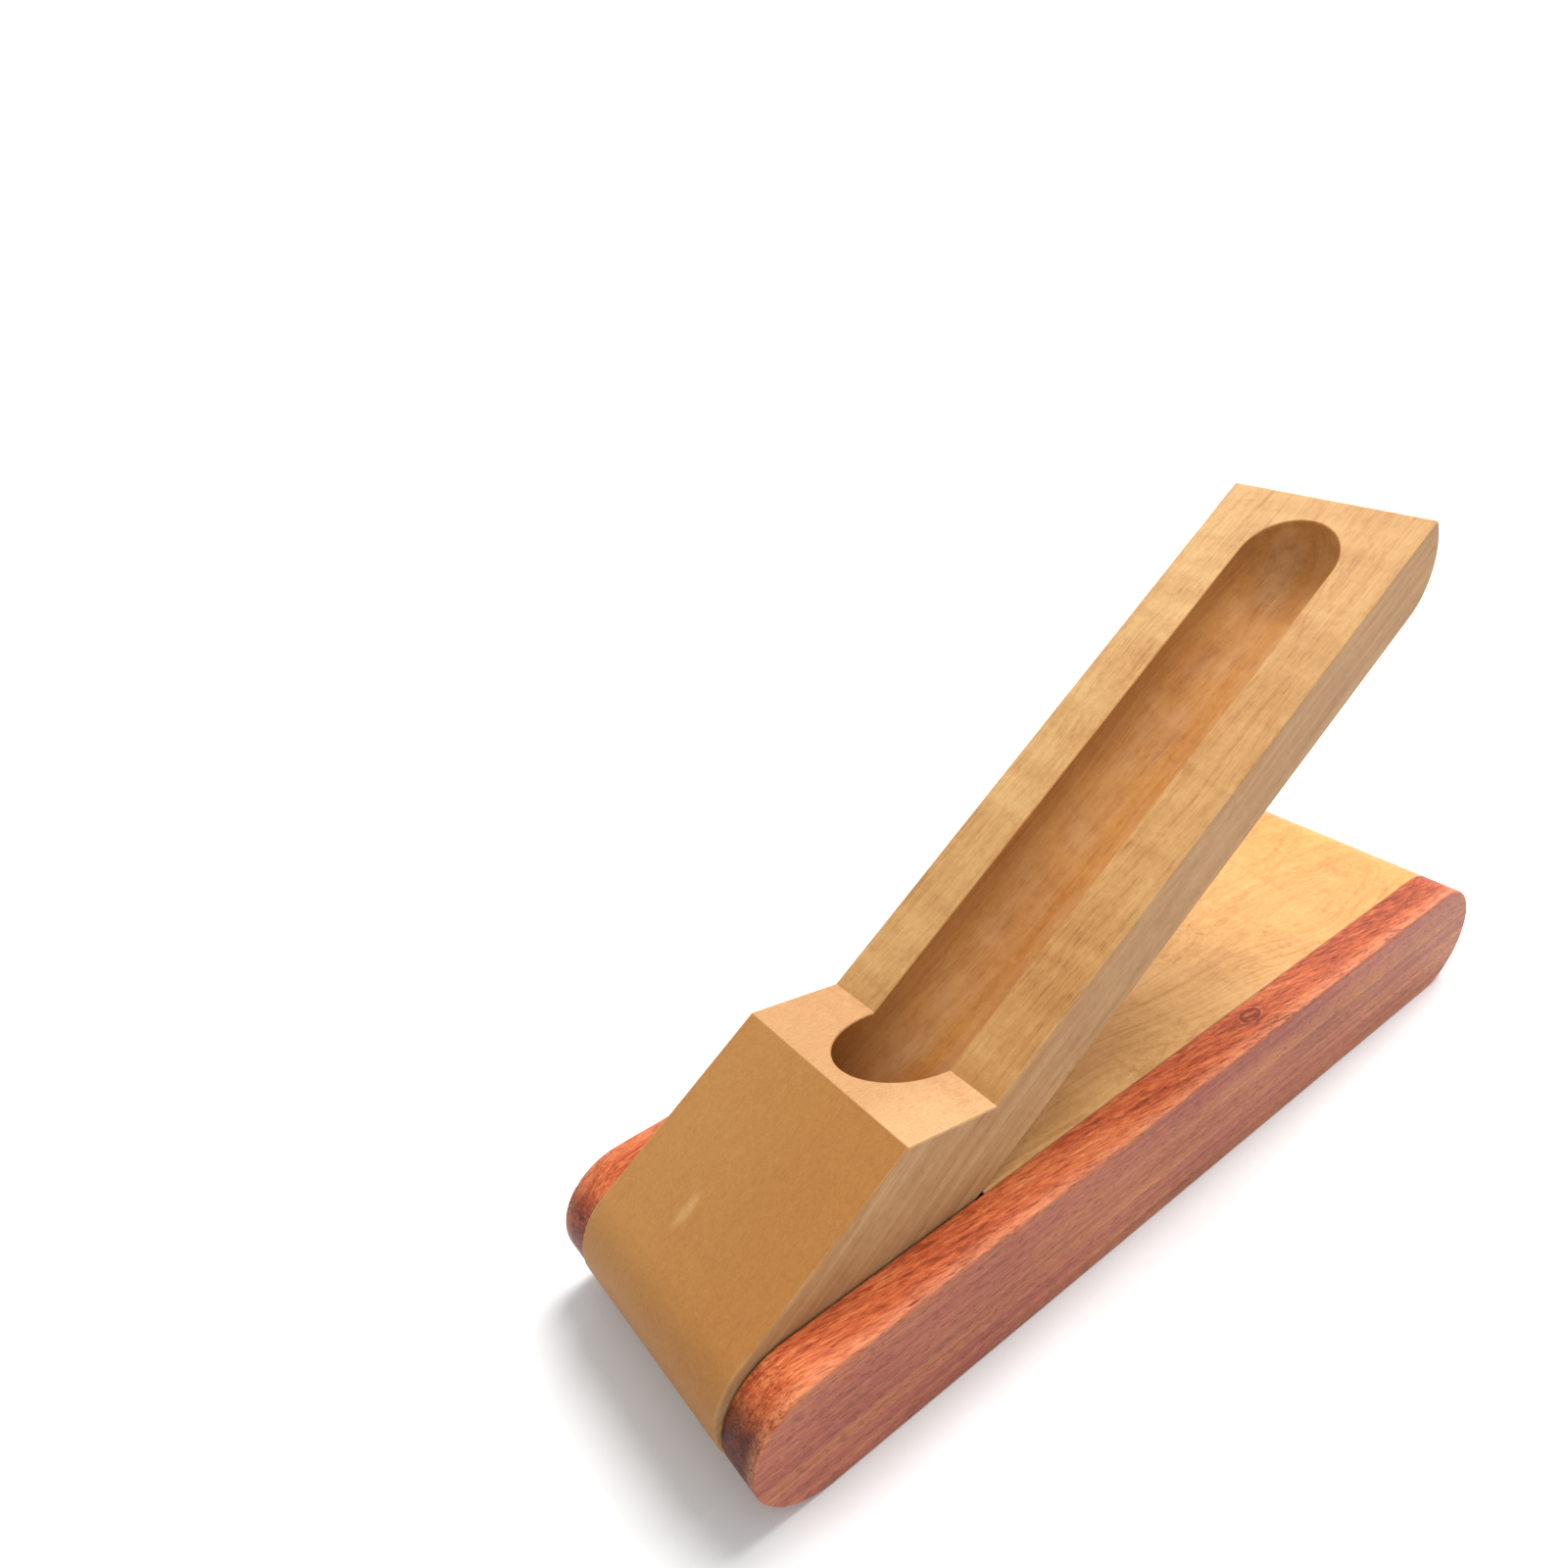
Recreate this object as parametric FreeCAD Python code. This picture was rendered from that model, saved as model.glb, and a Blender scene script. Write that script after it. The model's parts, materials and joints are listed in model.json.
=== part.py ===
import FreeCAD, Part
import math
import os

# Flip-open wooden case for one fountain pen, in millimetres.
#
# Two dark stadium-shaped rails stand either side of a pale centre board that
# fills only the upper half of the case's height.  A pale tray, as long as the
# case, turns on two pins hidden between the rails.  Its near end is a
# full-height block with a round pocket for the pen's tip; the rest is a
# half-height arm with a half-round groove.  Closed, the arm lies in the slot
# under the centre board.  Open, as modelled here, it has gone the long way
# round the near end and leans with its back on the board's near edge.
#
# +X runs along the case from its hinged end, +Y across it, +Z up.  The origin
# is the bottom centre of the open case's bounding box.

# ---- driving dimensions ----
case_length = 160.0
case_width = 50.0
case_height = 21.0
rail_thickness = 7.0
rail_edge_round = 0.45

tray_side_gap = 0.4           # between the tray's side and the rail beside it
tray_inset = 0.2              # the tray's back lies this far inside the rails' outline
parting_gap = 0.3             # closed, between the tray's face and the board's underside
facet_top = 43.0              # hinged end to the facet's upper edge on the closed tray
facet_bottom = 54.0           # hinged end to the facet's lower edge on the closed tray
facet_gap = 0.4               # closed, along X between the tray's facet and the board's
tray_edge_round = 0.35
board_edge_round = 0.25

pen_groove_radius = 8.2
pen_groove_start = 6.5        # hinged end to the bottom of the pocket
pen_groove_end = 155.0        # hinged end to the far end of the groove
groove_rim_round = 0.25

pivot_from_end = 7.0          # hinged end to the hinge pins' axis
pivot_height = 10.0           # underside to the hinge pins' axis
pin_radius = 1.5
pin_in_rail = 5.0
pin_in_tray = 6.0
pin_running_clearance = 0.05
pin_end_clearance = 0.5
pin_tip_chamfer = 0.3
stop_gap = 0.15               # open, between the tray's back and the board's near edge

dowel_radius = 2.0
dowel_in_rail = 4.5
dowel_in_board = 7.0
dowel_tip_chamfer = 0.4
dowel_stations = {"near": 68.0, "middle": 104.0, "far": 140.0}   # from the hinged end

# ---- what follows from them ----
end_radius = case_height / 2
mid_height = case_height / 2
inner_half_width = case_width / 2 - rail_thickness
tray_half_width = inner_half_width - tray_side_gap
tray_radius = end_radius - tray_inset
tray_face_height = mid_height - parting_gap / 2
board_underside = mid_height + parting_gap / 2
board_top_start = facet_top + facet_gap
board_bottom_start = facet_bottom + facet_gap
dowel_height = (board_underside + case_height) / 2

# Open, the tray's back rests on the board's rounded near edge, but for the stop gap.
facet_slope = math.atan2(case_height - board_underside, board_bottom_start - board_top_start)
edge_along = board_top_start + board_edge_round / math.tan(facet_slope / 2) - pivot_from_end
edge_above = case_height - board_edge_round - pivot_height
edge_reach = math.hypot(edge_along, edge_above)
back_offset = pivot_height - tray_inset + board_edge_round + stop_gap
turn = math.atan2(edge_above, edge_along) + math.asin(back_offset / edge_reach)
open_angle = math.degrees(turn)

# Open, the tray's rounded end stands proud of the rails' hinged end.
nose_along = end_radius - pivot_from_end
nose_above = mid_height - pivot_height
nose_centre = pivot_from_end + nose_along * math.cos(turn) - nose_above * math.sin(turn)
nose_overhang = tray_radius - nose_centre
hinged_end = -(case_length - nose_overhang) / 2

along_y = FreeCAD.Vector(0, 1, 0)
pivot = FreeCAD.Vector(hinged_end + pivot_from_end, 0, pivot_height)


def point(from_end, height, across=0.0):
    """A point by its distance from the case's hinged end and its height."""
    return FreeCAD.Vector(hinged_end + from_end, across, height)


def line(start, end):
    return Part.LineSegment(point(*start), point(*end)).toShape()


def arc(centre, radius, start_deg, middle_deg, end_deg):
    """An arc in the side view; angles are anticlockwise from +X towards +Z."""
    ends = []
    for degrees in (start_deg, middle_deg, end_deg):
        angle = math.radians(degrees)
        along = centre[0] + radius * math.cos(angle)
        ends.append(point(along, centre[1] + radius * math.sin(angle)))
    return Part.Arc(*ends).toShape()


def prism(edges, low_y, high_y):
    """The closed side-view outline, swept across the case."""
    face = Part.Face(Part.Wire(edges))
    solid = face.extrude(FreeCAD.Vector(0, high_y - low_y, 0))
    solid.translate(FreeCAD.Vector(0, low_y, 0))
    return solid


def rod(from_end, height, radius, y_from, y_to, tip_chamfer=0.0):
    """A round bar or hole across the case, with both tips chamfered if asked."""
    base = point(from_end, height, min(y_from, y_to))
    bar = Part.makeCylinder(radius, abs(y_to - y_from), base, along_y)
    if tip_chamfer > 0:
        tips = [edge for edge in bar.Edges if isinstance(edge.Curve, Part.Circle)]
        bar = bar.makeChamfer(tip_chamfer, tips)
    return bar


def edges_at_y(solid, y):
    """The edges that lie wholly in one plane across the case."""
    found = []
    for edge in solid.Edges:
        box = edge.BoundBox
        if abs(box.YMin - y) < 1e-4 and abs(box.YMax - y) < 1e-4:
            found.append(edge)
    return found


def edges_across(solid, from_end, height):
    """The straight edges that run across the whole solid at one place in the side view."""
    place = point(from_end, height)
    found = []
    for edge in solid.Edges:
        box = edge.BoundBox
        on_line = abs(box.XMin - place.x) < 1e-3 and abs(box.XMax - place.x) < 1e-3
        at_height = abs(box.ZMin - height) < 1e-3 and abs(box.ZMax - height) < 1e-3
        if on_line and at_height and box.YLength > inner_half_width:
            found.append(edge)
    return found


def pen_space():
    """Round-ended bar of the pen groove's radius, on the closed case's mid-plane."""
    first = point(pen_groove_start + pen_groove_radius, mid_height)
    last = point(pen_groove_end - pen_groove_radius, mid_height)
    bar = Part.makeCylinder(pen_groove_radius, last.x - first.x, first, FreeCAD.Vector(1, 0, 0))
    for end in (first, last):
        bar = bar.fuse(Part.makeSphere(pen_groove_radius, end))
    return bar.removeSplitter()


def groove_rim(tray):
    """The pen groove's edges on the closed tray's face and facet."""
    found = []
    for edge in tray.Edges:
        box = edge.BoundBox
        over_groove = max(abs(box.YMin), abs(box.YMax)) < pen_groove_radius + 0.01
        outside_pocket = box.XMin > point(facet_top, 0).x
        at_surface = box.ZMin > tray_face_height - 0.01
        if over_groove and outside_pocket and at_surface:
            found.append(edge)
    return found


def make_rail(side):
    """Solid rail, both ends fully rounded; side is +1 for +Y and -1 for -Y."""
    near = (end_radius, mid_height)
    far = (case_length - end_radius, mid_height)
    outline = [
        line((near[0], 0), (far[0], 0)),
        arc(far, end_radius, -90, 0, 90),
        line((far[0], case_height), (near[0], case_height)),
        arc(near, end_radius, 90, 180, 270),
    ]
    inner = side * inner_half_width
    outer = side * case_width / 2
    rail = prism(outline, min(inner, outer), max(inner, outer))
    rail = rail.makeFillet(rail_edge_round, edges_at_y(rail, outer))
    rail = rail.cut(rod(pivot_from_end, pivot_height, pin_radius, inner, inner + side * pin_in_rail))
    for station in dowel_stations.values():
        hole = rod(station, dowel_height, dowel_radius, inner, inner + side * dowel_in_rail)
        rail = rail.cut(hole)
    return rail


def make_board():
    """Fixed upper half of the case's middle, with a groove over the pen."""
    far = (case_length - end_radius, mid_height)
    rise = math.degrees(math.asin((board_underside - mid_height) / end_radius))
    tip = case_length - end_radius + end_radius * math.cos(math.radians(rise))
    outline = [
        line((board_bottom_start, board_underside), (tip, board_underside)),
        arc(far, end_radius, rise, 45, 90),
        line((far[0], case_height), (board_top_start, case_height)),
        line((board_top_start, case_height), (board_bottom_start, board_underside)),
    ]
    board = prism(outline, -inner_half_width, inner_half_width)
    near_edge = edges_across(board, board_top_start, case_height)
    board = board.makeFillet(board_edge_round, near_edge)
    board = board.cut(pen_space())
    for side in (1, -1):
        wall = side * inner_half_width
        for station in dowel_stations.values():
            hole = rod(station, dowel_height, dowel_radius, wall, wall - side * dowel_in_board)
            board = board.cut(hole)
    return board


def make_tray():
    """Tipping pen tray: block, facet, grooved arm; built closed, then turned open."""
    near = (end_radius, mid_height)
    far = (case_length - end_radius, mid_height)
    drop = math.degrees(math.asin((tray_face_height - mid_height) / tray_radius))
    tip = far[0] + tray_radius * math.cos(math.radians(drop))
    back = mid_height - tray_radius
    front = mid_height + tray_radius
    outline = [
        line((near[0], back), (far[0], back)),
        arc(far, tray_radius, -90, -45, drop),
        line((tip, tray_face_height), (facet_bottom, tray_face_height)),
        line((facet_bottom, tray_face_height), (facet_top, front)),
        line((facet_top, front), (near[0], front)),
        arc(near, tray_radius, 90, 180, 270),
    ]
    tray = prism(outline, -tray_half_width, tray_half_width)
    rounded = edges_at_y(tray, tray_half_width) + edges_at_y(tray, -tray_half_width)
    rounded += edges_across(tray, facet_top, front) + edges_across(tray, tip, tray_face_height)
    tray = tray.makeFillet(tray_edge_round, rounded)
    tray = tray.cut(pen_space())
    tray = tray.makeFillet(groove_rim_round, groove_rim(tray))
    for side in (1, -1):
        depth = pin_in_tray + pin_end_clearance
        wall = side * tray_half_width
        radius = pin_radius + pin_running_clearance
        tray = tray.cut(rod(pivot_from_end, pivot_height, radius, wall, wall - side * depth))
    tray.rotate(pivot, along_y, -open_angle)
    return tray


def make_pin(side):
    """Hinge pin, pressed into the rail and running in the tray."""
    buried = side * (inner_half_width + pin_in_rail)
    free = side * (tray_half_width - pin_in_tray)
    return rod(pivot_from_end, pivot_height, pin_radius, buried, free, pin_tip_chamfer)


def make_dowel(side, station):
    """Glued dowel that ties the centre board to a rail."""
    buried = side * (inner_half_width + dowel_in_rail)
    inboard = side * (inner_half_width - dowel_in_board)
    return rod(station, dowel_height, dowel_radius, buried, inboard, dowel_tip_chamfer)


sides = {"left": 1, "right": -1}
nodes = {"centre_board": make_board(), "pen_tray": make_tray()}
for side_name, side in sides.items():
    nodes[side_name + "_rail"] = make_rail(side)
    nodes[side_name + "_hinge_pin"] = make_pin(side)
    for station_name, station in dowel_stations.items():
        nodes["_".join((side_name, station_name, "dowel"))] = make_dowel(side, station)

os.makedirs("parts", exist_ok=True)
for name, shape in nodes.items():
    solid = shape.Solids[0]
    solid.exportStep(os.path.join("parts", name + ".step"))
    print(name, "valid" if solid.isValid() else "NOT VALID", round(solid.Volume, 1), "mm3")

print("open angle", round(open_angle, 4), "degrees")
print("pivot", round(pivot.x, 3), round(pivot.y, 3), round(pivot.z, 3), "mm")
print("hinged end", round(hinged_end, 3), "mm")
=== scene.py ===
"""Looks of the flip-open wooden pen case: wood finishes, studio and camera.

Metres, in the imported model's frame: +X from the hinged end to the far end, +Y across, +Z up.
The materials work in millimetres on the closed case: the tray's place is turned back by the
angle that it stands open at, so that x runs along the grain of every wooden piece.
"""

import json
import math

import bmesh
import bpy
from mathutils import Matrix, Vector


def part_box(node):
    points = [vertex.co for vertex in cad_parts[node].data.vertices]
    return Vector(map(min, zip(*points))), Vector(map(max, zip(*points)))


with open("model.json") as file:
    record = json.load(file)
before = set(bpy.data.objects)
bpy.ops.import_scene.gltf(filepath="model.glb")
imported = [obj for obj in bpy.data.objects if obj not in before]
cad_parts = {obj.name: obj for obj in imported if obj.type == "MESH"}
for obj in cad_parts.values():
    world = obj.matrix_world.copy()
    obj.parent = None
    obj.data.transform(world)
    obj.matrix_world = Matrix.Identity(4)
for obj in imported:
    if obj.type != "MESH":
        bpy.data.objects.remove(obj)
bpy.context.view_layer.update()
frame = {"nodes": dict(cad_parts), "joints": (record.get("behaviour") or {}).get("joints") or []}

MM = 0.001
flip = frame["joints"][0]
PIVOT = Vector(flip["pos_m"])
OPEN_ANGLE = math.radians(360 - flip["range_deg"][1])
RAIL_LOW, RAIL_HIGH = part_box("right_rail")
HINGED_END = RAIL_LOW.x

# Places on the closed case, in millimetres.
HINGED_X = HINGED_END / MM
FAR_X = RAIL_HIGH.x / MM
CASE_TOP = RAIL_HIGH.z / MM
OUTER_EDGE = RAIL_LOW.y / -MM
BOARD_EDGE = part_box("centre_board")[1].y / MM
GROOVE_RADIUS = 8.2
GROOVE_FIRST = HINGED_X + 14.7      # centres of the groove's two round ends
GROOVE_LAST = FAR_X - 13.2
SCAR_PLACE = (HINGED_X + 18.0, 4.1, CASE_TOP)
SCAR_REACH = (4.0, 1.2, 2.0)
KNOT_PLACE = (HINGED_X + 99.0, -20.4, CASE_TOP)
KNOT_REACH = (3.6, 2.0, 5.0)
# The far tints darken the far end as painted shade.
FAR_FADE = (15.0, 78.0)             # x over which the far tints come in

# ---- colours ----

# The board's tones are paler than the tray's, in part as painted light against the shade that
# the open tray casts on the board.
BOARD_LIT_STOPS = (
    (0.10, (0.360, 0.160, 0.048)),
    (0.36, (0.520, 0.280, 0.100)),
    (0.56, (0.600, 0.345, 0.135)),
    (0.85, (0.670, 0.410, 0.175)),
)
TRAY_STOPS = (
    (0.10, (0.330, 0.152, 0.049)),
    (0.36, (0.445, 0.240, 0.091)),
    (0.56, (0.515, 0.305, 0.124)),
    (0.85, (0.600, 0.390, 0.180)),
)
# The facet's ramp brightens it as painted light; its tint is painted shade.
FACET_LIGHT_STOPS = ((0.3, (0.96, 0.94, 1.05)), (0.7, (1.14, 1.16, 1.33)))
FACET_SHADE = (0.87, 0.80, 0.76)
MAPLE_END_TINT = (0.84, 0.80, 0.76)
# Wear and painted highlight on the arrises.
MAPLE_WEAR_AND_HIGHLIGHT = (0.66, 0.46, 0.27)
MAPLE_SCAR = (0.50, 0.30, 0.12)
MAPLE_GLUE = (0.15, 0.06, 0.025)
MAPLE_COAT = {"Specular IOR Level": 0.12, "Coat Weight": 0.05, "Coat Roughness": 0.3}

ROSEWOOD_STOPS = (
    (0.12, (0.140, 0.025, 0.009)),
    (0.34, (0.285, 0.051, 0.016)),
    (0.52, (0.465, 0.097, 0.030)),
    (0.72, (0.580, 0.172, 0.060)),
    (0.92, (0.660, 0.280, 0.126)),
)
ROSEWOOD_SIDE_STOPS = (
    (0.12, (0.190, 0.052, 0.034)),
    (0.40, (0.315, 0.086, 0.055)),
    (0.60, (0.385, 0.118, 0.069)),
    (0.90, (0.480, 0.175, 0.098)),
)
ROSEWOOD_END_STOPS = ((0.38, (0.10, 0.08, 0.09)), (0.62, (0.50, 0.42, 0.40)))
ROSEWOOD_BELT_TINT = (1.10, 1.26, 0.98)
# Painted shade on the rails' tops towards the far end.
ROSEWOOD_FAR_SHADE = (0.78, 0.67, 0.52)
ROSEWOOD_PORE = (0.085, 0.020, 0.010)
ROSEWOOD_SIDE_PORE = (0.10, 0.030, 0.020)
# Wear and painted highlight on the arrises, and a paler strip beside the outer edge.
ROSEWOOD_WEAR_AND_HIGHLIGHT = (0.60, 0.24, 0.12)
ROSEWOOD_COAT = {"Specular IOR Level": 0.12, "Coat Weight": 0.08, "Coat Roughness": 0.22}

STEEL_STOPS = ((0.3, (0.45, 0.45, 0.44)), (0.7, (0.68, 0.68, 0.66)))
PAPER_STOPS = ((0.3, (0.72, 0.72, 0.72)), (0.7, (0.75, 0.75, 0.75)))

# What a maple piece looks like unless its own look says otherwise.  curl, layers, smudge
# and rings are amounts.  From the first to the second x of reach they fall to plain times
# as much, and the tint of painted shade on the block comes in.  The other tints: side, on
# the long sides; middle, painted shade towards the hinge; right, towards the right rail;
# far, painted shade towards the far end; and painted shade on the groove's wall.  seam is
# half the distance between the two lines of glue.
MAPLE_LOOK = {
    "tilt": 0.0, "shear": 0.03, "wander": 9.0,
    "layers": 0.25, "smudge": 0.20, "rings": 0.0, "plain": 1.0,
    "side": (1, 1, 1), "near": (1, 1, 1), "reach": (-80.0, -90.0),
}
BOARD_LOOK = MAPLE_LOOK | {
    "offset": (14.0, 3.0, 0.0), "shear": 0.08, "wander": 44.0,
    "curl": 0.38, "layers": 0.60, "smudge": 0.10, "rings": 0.11,
    # far: painted shade at the far end
    "side": (0.92, 0.90, 0.92), "far": (0.92, 0.75, 0.58), "seam": BOARD_EDGE,
}
TRAY_LOOK = MAPLE_LOOK | {
    "offset": (0.0, -6.0, 2.0), "tilt": OPEN_ANGLE,
    "curl": 0.62, "layers": 0.30, "rings": 0.09, "plain": 0.12,
    # Painted shade: the block's tint, middle and the groove's tint.
    "side": (0.82, 0.80, 0.93), "near": (0.89, 0.76, 0.58), "reach": (-20.0, -36.0),
    "middle": (0.88, 0.83, 0.76), "right": (0.95, 0.89, 0.82), "groove_shade": (0.92, 0.71, 0.45),
}
DOWEL_LOOK = MAPLE_LOOK | {"offset": (5.0, 5.0, 5.0), "curl": 0.2}


# ---- node graphs ----

class Graph:
    """Short calls that add nodes to one material and return their output sockets."""

    def __init__(self, name):
        self.material = bpy.data.materials.new(name)
        self.material.use_nodes = True
        self.tree = self.material.node_tree
        self.tree.nodes.clear()

    def node(self, kind, inputs=None, **settings):
        made = self.tree.nodes.new("ShaderNode" + kind)
        for key, value in settings.items():
            setattr(made, key, value)
        for key, value in (inputs or {}).items():
            if isinstance(value, bpy.types.NodeSocket):
                self.tree.links.new(value, made.inputs[key])
            else:
                made.inputs[key].default_value = value
        return made

    def math(self, operation, first, second=0.0, clamp=False):
        made = self.node("Math", {0: first, 1: second}, operation=operation, use_clamp=clamp)
        return made.outputs[0]

    def add(self, first, second):
        return self.math("ADD", first, second)

    def subtract(self, first, second):
        return self.math("SUBTRACT", first, second)

    def multiply(self, first, second):
        return self.math("MULTIPLY", first, second)

    def maximum(self, first, second):
        return self.math("MAXIMUM", first, second)

    def absolute(self, value):
        return self.math("ABSOLUTE", value)

    def vector(self, operation, first, second):
        return self.node("VectorMath", {0: first, 1: second}, operation=operation).outputs[0]

    def length(self, vector):
        return self.node("VectorMath", {0: vector}, operation="LENGTH").outputs["Value"]

    def parts(self, vector):
        return self.node("SeparateXYZ", {0: vector}).outputs

    def joined(self, *parts):
        return self.node("CombineXYZ", dict(enumerate(parts))).outputs[0]

    def noise(self, place, stretch, detail=2.0, roughness=0.5, distortion=0.0):
        """Noise whose features per millimetre along each axis are given by stretch."""
        stretched = self.vector("MULTIPLY", place, stretch)
        settings = {"Vector": stretched, "Scale": 1.0, "Detail": detail}
        settings.update({"Roughness": roughness, "Distortion": distortion})
        return self.node("TexNoise", settings).outputs["Fac"]

    def span(self, value, low, high, to_low=0.0, to_high=1.0):
        """value from low..high, eased and clamped, to to_low..to_high."""
        ends = {"Value": value, "From Min": low, "From Max": high}
        ends.update({"To Min": to_low, "To Max": to_high})
        return self.node("MapRange", ends, interpolation_type="SMOOTHSTEP").outputs["Result"]

    def ramp(self, value, stops):
        made = self.node("ValToRGB", {"Fac": value})
        elements = made.color_ramp.elements
        while len(elements) < len(stops):
            elements.new(0.5)
        for element, (place, colour) in zip(elements, stops):
            element.position = place
            element.color = (*colour, 1.0)
        return made.outputs["Color"]

    def mix(self, factor, first, second, blend="MIX"):
        made = self.node("Mix", {"Factor": factor}, data_type="RGBA", blend_type=blend)
        for index, value in ((6, first), (7, second)):
            if isinstance(value, bpy.types.NodeSocket):
                self.tree.links.new(value, made.inputs[index])
            else:
                made.inputs[index].default_value = (*value, 1.0)
        return made.outputs[2]

    def tint(self, factor, colour, shade):
        return self.mix(factor, colour, shade, "MULTIPLY")

    def bump(self, height, distance):
        inputs = {"Height": height, "Distance": distance, "Strength": 1.0}
        return self.node("Bump", inputs).outputs["Normal"]

    def surface(self, colour, roughness, normal, constants=None):
        """The finished material; constants go on more of the shader's sockets."""
        inputs = {"Base Color": colour, "Roughness": roughness, "Normal": normal}
        inputs.update(constants or {})
        shader = self.node("BsdfPrincipled", inputs).outputs["BSDF"]
        self.node("OutputMaterial", {"Surface": shader})
        return self.material


def millimetres(graph, tilt=0.0):
    """Place on the closed case; tilt is the angle that the piece stands open at."""
    turn = {"Vector": graph.node("TexCoord").outputs["Object"], "Center": PIVOT, "Angle": tilt}
    turned = graph.node("VectorRotate", turn, rotation_type="Y_AXIS").outputs[0]
    return graph.node("VectorMath", {0: turned, "Scale": 1 / MM}, operation="SCALE").outputs[0]


def facing(graph, tilt=0.0):
    """The surface's direction on the closed case, as three sockets."""
    turn = {"Vector": graph.node("TexCoord").outputs["Normal"], "Angle": tilt}
    turned = graph.node("VectorRotate", turn, rotation_type="Y_AXIS").outputs[0]
    return graph.parts(turned)


# ---- wood ----

class Wood(Graph):
    """A wood's material, with the coordinates and masks that its patterns are laid out by."""

    def __init__(self, name, offset, shear, wander, tilt=0.0):
        super().__init__(name)
        self.piece = millimetres(self, tilt)
        self.along, self.across, self.level = self.parts(self.piece)
        self.face = facing(self, tilt)
        self.sideways = self.span(self.absolute(self.face[1]), 0.75, 1.0)
        self.place = self.vector("ADD", self.piece, offset)
        self.grain = self.wandering(shear, wander)

    def wandering(self, shear, reach):
        """The grain's own coordinates: it drifts off the piece's length and wanders a little."""
        along, across, level = self.parts(self.place)
        drift = self.multiply(along, shear)
        sway = self.multiply(self.noise(self.place, (0.014, 0.04, 0.04), detail=1.0), reach)
        across = self.add(self.add(across, drift), sway)
        return self.joined(along, across, self.add(level, sway))

    def worn_highlit_arrises(self):
        """Broken line of wear and painted highlight on the rounded arrises along the piece,
        where the surface turns.
        """
        sideways = self.absolute(self.face[1])
        turning = self.multiply(sideways, self.subtract(1.0, sideways))
        band = self.math("MULTIPLY", turning, 4.0, clamp=True)
        broken = self.noise(self.place, (0.12, 0.3, 0.3), detail=3.0)
        return self.multiply(band, self.span(broken, 0.35, 0.65, 0.25, 1.0))

    def spot(self, centre, reach):
        """1 at a place on the piece, easing to 0 at the rim of an ellipsoid around it."""
        offset = self.vector("SUBTRACT", self.piece, centre)
        return self.span(self.length(self.vector("DIVIDE", offset, reach)), 1.0, 0.35)

    def groove_wall(self):
        """1 on the wall of the pen groove, whose axis is the closed case's middle line."""
        height = self.subtract(self.level, CASE_TOP / 2)
        past = self.maximum(self.subtract(self.along, GROOVE_LAST), 0.0)
        before = self.maximum(self.subtract(GROOVE_FIRST, self.along), 0.0)
        offset = self.joined(self.add(past, before), self.across, height)
        return self.span(self.length(offset), GROOVE_RADIUS + 0.4, GROOVE_RADIUS + 0.05)

    def growth_rings(self):
        """Thin wavy lines along the grain, a few millimetres apart and broken up by noise."""
        across = self.parts(self.grain)[1]
        waver = self.multiply(self.noise(self.grain, (0.03, 0.22, 0.22), detail=2.0), 8.0)
        phase = self.add(self.multiply(across, 2.3), waver)
        line = self.span(self.math("SINE", phase), 0.55, 1.0)
        broken = self.noise(self.grain, (0.05, 0.8, 0.8), detail=3.0)
        return self.multiply(line, self.span(broken, 0.35, 0.65, 0.15, 1.0))

    def blend_tone(self, *patterns):
        """Half, plus each pattern's swing about its own middle times its amount."""
        tone = 0.5
        for pattern, amount in patterns:
            tone = self.add(tone, self.multiply(self.subtract(pattern, 0.5), amount))
        return tone


# ---- maple ----

def maple_figure(wood):
    """The patterns that maple's tone, sheen and relief are mixed from."""
    grain, place = wood.grain, wood.place
    vessels = wood.noise(grain, (0.34, 6.0, 6.0), detail=1.0)
    smudge = wood.noise(grain, (0.06, 0.38, 0.38), detail=4.0, roughness=0.6, distortion=1.2)
    return {
        "fibre": wood.noise(grain, (0.09, 2.8, 2.8), detail=4.0, roughness=0.65),
        "layers": wood.noise(grain, (0.005, 0.95, 0.95), detail=5.0, roughness=0.65),
        "cloud": wood.noise(grain, (0.04, 0.16, 0.16), detail=4.0, roughness=0.6),
        "curl": wood.noise(place, (0.14, 0.035, 0.05), detail=3.0, distortion=1.2),
        "mottle": wood.noise(place, (0.9, 0.9, 0.9), detail=3.0, roughness=0.6),
        "speckle": wood.noise(place, (2.6, 2.6, 2.6), detail=3.0, roughness=0.7),
        "vessels": wood.span(vessels, 0.60, 0.72),
        "smudge": wood.span(smudge, 0.55, 0.72),
        "rings": wood.growth_rings(),
    }


def maple_tone(wood, look, figure, at_block):
    """Light and dark: figured on the wide faces, layered on the sides, plain on the block."""
    plain = wood.span(at_block, 0.0, 1.0, 1.0, look["plain"])
    plain = wood.maximum(plain, wood.sideways)
    fibre, mottle = figure["fibre"], figure["mottle"]
    curl, cloud = figure["curl"], figure["cloud"]
    figured = wood.blend_tone((fibre, 0.42), (curl, look["curl"]), (cloud, 0.45), (mottle, 0.26))
    vessels = wood.multiply(figure["vessels"], 0.12)
    dark = wood.add(vessels, wood.multiply(figure["smudge"], look["smudge"]))
    dark = wood.add(dark, wood.multiply(figure["rings"], look["rings"]))
    figured = wood.subtract(wood.subtract(figured, 0.5), dark)
    figured = wood.multiply(figured, wood.span(wood.sideways, 0.0, 1.0, 1.0, 0.45))
    amount = wood.span(wood.sideways, 0.0, 1.0, look["layers"], 0.60 + look["layers"])
    layered = wood.blend_tone((figure["layers"], amount), (fibre, 0.10))
    figured = wood.add(figured, wood.subtract(layered, 0.5))
    speckled = wood.span(plain, 0.0, 1.0, 0.42, 0.0)
    tone = wood.blend_tone((mottle, 0.14), (figure["speckle"], speckled))
    return wood.add(tone, wood.multiply(figured, plain))


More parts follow.
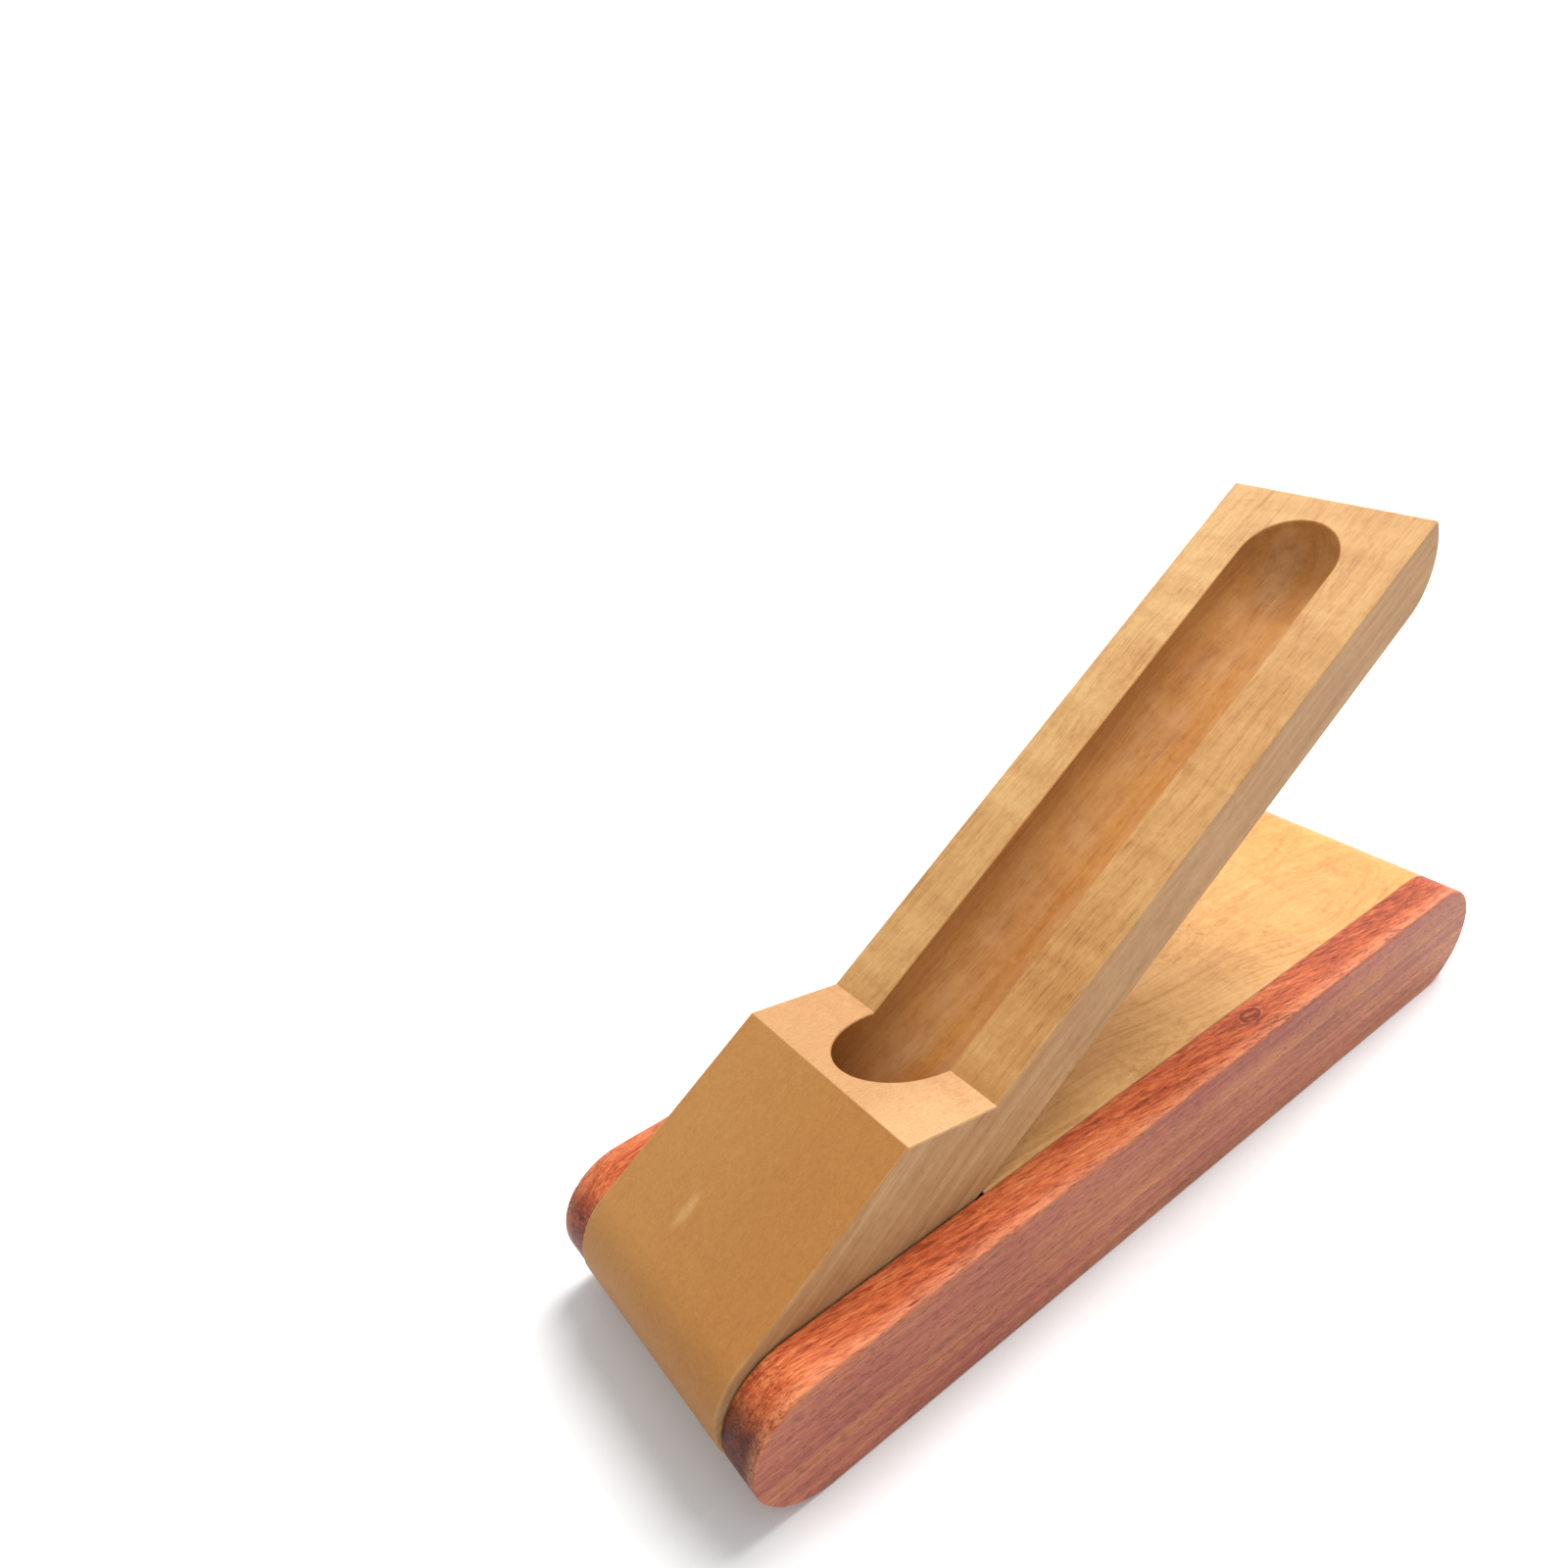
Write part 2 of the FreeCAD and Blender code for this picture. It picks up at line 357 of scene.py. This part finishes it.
def sanded_lit_facet(wood, colour, facet):
    """Painted light on the slope, streaked down its run, and painted shade on it but for its
    right edge.
    """
    slope = wood.joined(wood.subtract(wood.along, wood.level), wood.across)
    sanded = wood.noise(slope, (0.45, 3.4, 1.0), detail=4.0, roughness=0.65)
    # painted light on the facet, with its sanding streaks
    colour = wood.tint(facet, colour, wood.ramp(sanded, FACET_LIGHT_STOPS))
    # painted shade on the facet but for its right edge
    leftward = wood.multiply(wood.span(wood.across, -14.5, -5.0), facet)
    return wood.tint(leftward, colour, FACET_SHADE)


def maple_shading(wood, look, colour, at_block, flat):
    """The piece's slow changes of colour: painted shade on the flat faces of the block and
    towards the hinge, painted shade towards the far end, and a tint on the flat faces towards
    the right rail.
    """
    # painted shade on the block's flat faces
    colour = wood.tint(wood.multiply(at_block, flat), colour, look["near"])
    if "middle" in look:
        # painted shade, deepening towards the hinged end
        hingeward = wood.multiply(wood.span(wood.along, 60.0, -30.0), flat)
        colour = wood.tint(hingeward, colour, look["middle"])
        rightward = wood.multiply(wood.span(wood.across, 12.0, -12.0), flat)
        colour = wood.tint(rightward, colour, look["right"])
    if "far" in look:
        # painted shade towards the far end
        colour = wood.tint(wood.span(wood.along, *FAR_FADE), colour, look["far"])
    return colour


def maple_marks_and_groove_shade(wood, look, colour, mottle):
    """Glue lines beside the rails, painted shade on the groove's wall and the scar on the block.
    """
    if "seam" in look:
        across = wood.absolute(wood.across)
        seam = wood.span(across, look["seam"] - 0.28, look["seam"] - 0.08)
        colour = wood.mix(wood.multiply(seam, 0.7), colour, MAPLE_GLUE)
    if "groove_shade" in look:
        # painted shade on the groove's wall
        colour = wood.tint(wood.groove_wall(), colour, look["groove_shade"])
        scar = wood.multiply(wood.spot(SCAR_PLACE, SCAR_REACH), mottle)
        colour = wood.mix(scar, colour, MAPLE_SCAR)
    return colour


def maple_wear_and_highlight(wood, colour):
    """Paler arrises, wear and painted highlight: along the piece, and across it where the facet
    meets the flat face.
    """
    turning = wood.span(wood.face[0], 0.06, 0.2)
    crossing = wood.multiply(turning, wood.span(wood.face[0], 0.66, 0.55))
    crossing = wood.multiply(crossing, wood.span(wood.along, 0.0, -10.0))
    edge = wood.maximum(wood.worn_highlit_arrises(), crossing)
    return wood.mix(wood.multiply(edge, 0.20), colour, MAPLE_WEAR_AND_HIGHLIGHT)


def maple(name, stops, look):
    """Honey maple under a thin satin finish: fibre, vessel dashes and curl across the grain."""
    wood = Wood(name, look["offset"], look["shear"], look["wander"], look["tilt"])
    figure = maple_figure(wood)
    at_block = wood.span(wood.along, *look["reach"])
    facet = wood.span(wood.face[0], 0.45, 0.65)
    facet = wood.multiply(facet, wood.span(wood.face[2], 0.50, 0.68))
    flat = wood.subtract(1.0, wood.maximum(facet, wood.sideways))

    colour = wood.ramp(maple_tone(wood, look, figure, at_block), stops)
    colour = wood.tint(wood.multiply(wood.sideways, 0.9), colour, look["side"])
    endways = wood.span(wood.absolute(wood.face[0]), 0.55, 1.0)
    colour = wood.tint(wood.multiply(endways, 0.8), colour, MAPLE_END_TINT)
    colour = sanded_lit_facet(wood, colour, facet)
    colour = maple_shading(wood, look, colour, at_block, flat)
    colour = maple_marks_and_groove_shade(wood, look, colour, figure["mottle"])
    colour = maple_wear_and_highlight(wood, colour)

    sheen = wood.add(figure["fibre"], figure["curl"])
    roughness = wood.span(sheen, 0.75, 1.25, 0.40, 0.54)
    relief = wood.subtract(figure["fibre"], wood.multiply(figure["vessels"], 0.8))
    normal = wood.bump(relief, 0.03 * MM)
    return wood.surface(colour, roughness, normal, MAPLE_COAT)


# ---- rosewood ----

def rosewood_figure(wood):
    """The patterns that rosewood's tones, sheen and relief are mixed from."""
    grain, place = wood.grain, wood.place
    pores = wood.noise(grain, (0.30, 3.8, 3.8), detail=1.0)
    streak = wood.noise(grain, (0.05, 0.55, 0.55), detail=5.0, roughness=0.62, distortion=0.4)
    return {
        "streak": streak,
        "fleck": wood.noise(grain, (0.36, 2.0, 2.0), detail=4.0, roughness=0.70, distortion=0.5),
        "fibre": wood.noise(grain, (0.12, 3.2, 3.2), detail=4.0, roughness=0.65),
        "patch": wood.noise(place, (0.05, 0.10, 0.10), detail=2.0),
        "layers": wood.noise(place, (0.014, 0.9, 1.1), detail=5.0, roughness=0.68),
        "grit": wood.noise(place, (0.50, 3.0, 3.4), detail=3.0, roughness=0.7),
        "belt": wood.noise(place, (0.006, 0.20, 0.16), detail=2.0),
        "pores": wood.span(pores, 0.60, 0.69),
    }


def knotted(wood, tone, fleck):
    """The tone with a small knot: broken rings around one place."""
    inside = wood.spot(KNOT_PLACE, KNOT_REACH)
    warped = wood.add(wood.multiply(inside, 9.0), wood.multiply(fleck, 7.0))
    rings = wood.subtract(wood.multiply(wood.math("SINE", warped), 0.26), 0.16)
    return wood.add(tone, wood.multiply(rings, inside))


def rosewood_top(wood, figure, knot):
    """Orange-red, with slanting streaks, flecks and dark pores."""
    tone = wood.blend_tone(
        (figure["streak"], 0.68), (figure["patch"], 0.50), (figure["fleck"], 0.95),
        (figure["grit"], 0.55), (figure["fibre"], 0.40),
    )
    if knot:
        tone = knotted(wood, tone, figure["fleck"])
    colour = wood.ramp(tone, ROSEWOOD_STOPS)
    return wood.mix(wood.multiply(figure["pores"], 0.34), colour, ROSEWOOD_PORE)


def rosewood_side(wood, figure):
    """Calm mauve-brown lines along the rail's sides, lighter and yellower in broad belts."""
    tone = wood.blend_tone(
        (figure["layers"], 1.35), (figure["patch"], 0.5), (figure["grit"], 0.95),
        (figure["fibre"], 0.45),
    )
    colour = wood.ramp(tone, ROSEWOOD_SIDE_STOPS)
    colour = wood.tint(wood.span(figure["belt"], 0.45, 0.62), colour, ROSEWOOD_BELT_TINT)
    return wood.mix(wood.multiply(figure["pores"], 0.46), colour, ROSEWOOD_SIDE_PORE)


def rosewood_end(wood, colour, painted_end_shading):
    """Darker, burled wood where the rail's rounded ends turn away, tinted with painted light on
    the left rail and painted shade on the right.
    """
    endways = wood.span(wood.absolute(wood.face[0]), 0.50, 0.92)
    burl = wood.noise(wood.place, (0.5, 0.6, 0.9), detail=4.0, roughness=0.7, distortion=1.4)
    # the burled end grain times the end tint, which is painted light or painted shade by rail
    burl_and_shading = wood.tint(1.0, wood.ramp(burl, ROSEWOOD_END_STOPS), painted_end_shading)
    return wood.tint(wood.multiply(endways, 0.95), colour, burl_and_shading)


def rosewood_wear_and_highlight(wood, colour, fleck):
    """Paler arrises, wear and painted highlight, and a paler strip on top beside the rail's
    outer edge.
    """
    upward = wood.subtract(1.0, wood.sideways)
    outward = wood.span(wood.absolute(wood.across), OUTER_EDGE - 2.6, OUTER_EDGE - 0.6)
    outer_strip = wood.multiply(wood.multiply(outward, upward), wood.span(fleck, 0.30, 0.60))
    edge = wood.maximum(wood.worn_highlit_arrises(), outer_strip)
    return wood.mix(wood.multiply(edge, 0.50), colour, ROSEWOOD_WEAR_AND_HIGHLIGHT)


def rosewood(name, offset, shear, painted_end_shading, knot=False):
    """Rosewood rail: lively on top, calm outside, dark at its ends, with painted shade on top
    towards its far end.
    """
    wood = Wood(name, offset, shear, 5.0)
    figure = rosewood_figure(wood)
    colour = rosewood_top(wood, figure, knot)
    colour = wood.mix(wood.sideways, colour, rosewood_side(wood, figure))
    # painted shade on the top towards the far end
    far_shade_mask = wood.span(wood.along, *FAR_FADE)
    far_shade_mask = wood.multiply(far_shade_mask, wood.subtract(1.0, wood.sideways))
    colour = wood.tint(far_shade_mask, colour, ROSEWOOD_FAR_SHADE)
    colour = rosewood_end(wood, colour, painted_end_shading)
    colour = rosewood_wear_and_highlight(wood, colour, figure["fleck"])

    sheen = wood.add(figure["fibre"], figure["fleck"])
    roughness = wood.span(sheen, 0.75, 1.25, 0.36, 0.52)
    relief = wood.subtract(figure["fibre"], wood.multiply(figure["pores"], 1.6))
    normal = wood.bump(relief, 0.04 * MM)
    return wood.surface(colour, roughness, normal, ROSEWOOD_COAT)


# ---- steel and the pieces' finishes ----

def bright_steel():
    """Steel drawn along the pin, which lies across the case."""
    graph = Graph("drawn_steel")
    drawn = graph.noise(millimetres(graph), (9.0, 0.4, 9.0), detail=3.0)
    colour = graph.ramp(drawn, STEEL_STOPS)
    roughness = graph.span(drawn, 0.3, 0.7, 0.22, 0.38)
    normal = graph.bump(drawn, 0.004 * MM)
    return graph.surface(colour, roughness, normal, {"Metallic": 1.0})


# End tints: painted light on the left rail's ends, painted shade on the right rail's.
rail_left = rosewood("rosewood_left", (31.0, 4.0, -7.0), -0.14, (1.2, 0.88, 0.56))
rail_right = rosewood("rosewood_right", (-12.0, 9.0, 3.0), 0.16, (0.56, 0.48, 0.45), knot=True)
board_wood = maple("maple_board", BOARD_LIT_STOPS, BOARD_LOOK)
tray_wood = maple("maple_tray", TRAY_STOPS, TRAY_LOOK)
dowel_wood = maple("beech_dowel", TRAY_STOPS, DOWEL_LOOK)
steel = bright_steel()
finishes = {
    "left_rail": rail_left, "right_rail": rail_right,
    "centre_board": board_wood, "pen_tray": tray_wood,
}


def finish_of(node_name):
    if node_name.endswith("dowel"):
        return dowel_wood
    if node_name.endswith("pin"):
        return steel
    return finishes[node_name]


for node_name, node_object in frame["nodes"].items():
    for material_slot in node_object.material_slots:
        material_slot.material = finish_of(node_name)


# ---- studio ----

FLOOR_HALF = 4.0
SKY_FADE = (0.12, 0.45)             # z of the direction looked in
SKY_STRENGTH = (1.08, 0.82)


def paper():
    graph = Graph("floor_paper")
    place = millimetres(graph)
    colour = graph.ramp(graph.noise(place, (0.02, 0.02, 0.02), detail=3.0), PAPER_STOPS)
    tooth = graph.bump(graph.noise(place, (1.5, 1.5, 1.5)), 0.01 * MM)
    return graph.surface(colour, 0.85, tooth)


def make_floor():
    """Plain pale sheet that the case stands on."""
    mesh = bpy.data.meshes.new("floor")
    sheet = bmesh.new()
    bmesh.ops.create_grid(sheet, x_segments=8, y_segments=8, size=FLOOR_HALF)
    sheet.to_mesh(mesh)
    sheet.free()
    floor = bpy.data.objects.new("floor", mesh)
    bpy.context.scene.collection.objects.link(floor)
    mesh.materials.append(paper())


def make_world():
    """White room, brighter at and below the horizon than overhead."""
    world = bpy.data.worlds.new("studio")
    world.use_nodes = True
    tree = world.node_tree
    tree.nodes.clear()
    place = tree.nodes.new("ShaderNodeTexCoord")
    parts = tree.nodes.new("ShaderNodeSeparateXYZ")
    fade = tree.nodes.new("ShaderNodeMapRange")
    light = tree.nodes.new("ShaderNodeBackground")
    light.inputs["Color"].default_value = (1.0, 1.0, 1.0, 1.0)
    output = tree.nodes.new("ShaderNodeOutputWorld")
    ends = ("From Min", "From Max", "To Min", "To Max")
    for key, value in zip(ends, SKY_FADE + SKY_STRENGTH):
        fade.inputs[key].default_value = value
    tree.links.new(place.outputs["Generated"], parts.inputs[0])
    tree.links.new(parts.outputs["Z"], fade.inputs["Value"])
    tree.links.new(fade.outputs["Result"], light.inputs["Strength"])
    tree.links.new(light.outputs[0], output.inputs[0])
    bpy.context.scene.world = world


def make_light(name, kind, place, target, energy, **settings):
    light = bpy.data.lights.new(name, kind)
    light.energy = energy
    for key, value in settings.items():
        setattr(light, key, value)
    obj = bpy.data.objects.new(name, light)
    bpy.context.scene.collection.objects.link(obj)
    obj.location = place
    ahead = Vector(target) - obj.location
    obj.rotation_euler = ahead.to_track_quat("-Z", "Y").to_euler()


# The camera's place is measured from the foot of the rails' hinged end, on the centre line.
CAMERA_PLACE = Vector((-27.07, -97.96, 144.72)) * MM
CAMERA_HEADING = math.radians(53.63)
CAMERA_DIP = math.radians(31.52)
CAMERA_ROLL = math.radians(-4.99)
CAMERA_LENS = 26.36
CAMERA_SHIFT = (-0.0625, 0.03125)


def camera_axes():
    """The rolled camera's own axes, as the columns of a matrix."""
    level = math.cos(CAMERA_DIP)
    ahead_x = level * math.cos(CAMERA_HEADING)
    ahead_y = level * math.sin(CAMERA_HEADING)
    ahead = Vector((ahead_x, ahead_y, -math.sin(CAMERA_DIP)))
    right = ahead.cross(Vector((0, 0, 1))).normalized()
    up = right.cross(ahead)
    rolled_right = right * math.cos(CAMERA_ROLL) + up * math.sin(CAMERA_ROLL)
    rolled_up = up * math.cos(CAMERA_ROLL) - right * math.sin(CAMERA_ROLL)
    return Matrix((rolled_right, rolled_up, -ahead)).transposed()


def make_camera():
    data = bpy.data.cameras.new("camera")
    data.lens = CAMERA_LENS
    data.sensor_width = 36.0
    data.shift_x, data.shift_y = CAMERA_SHIFT
    data.clip_start = 0.005
    data.clip_end = 20.0
    camera = bpy.data.objects.new("camera", data)
    bpy.context.scene.collection.objects.link(camera)
    place = Vector((HINGED_END, 0, 0)) + CAMERA_PLACE
    camera.matrix_world = Matrix.Translation(place) @ camera_axes().to_4x4()
    bpy.context.scene.camera = camera


make_floor()
make_world()
make_light(
    "key_sun", "SUN", place=(0.95, 0.12, 1.6), target=(0, 0, 0),
    energy=2.25, angle=math.radians(30),
)
make_light(
    "far_softbox", "AREA", place=(0.10, 0.06, 0.26), target=(0.05, 0, 0.05),
    energy=0.40, size=0.16,
)
make_light(
    "low_fill", "AREA", place=(0.30, -0.02, 0.21), target=(0.02, 0, 0.02),
    energy=0.54, size=0.16,
)
make_camera()
bpy.context.scene.view_settings.view_transform = "Standard"
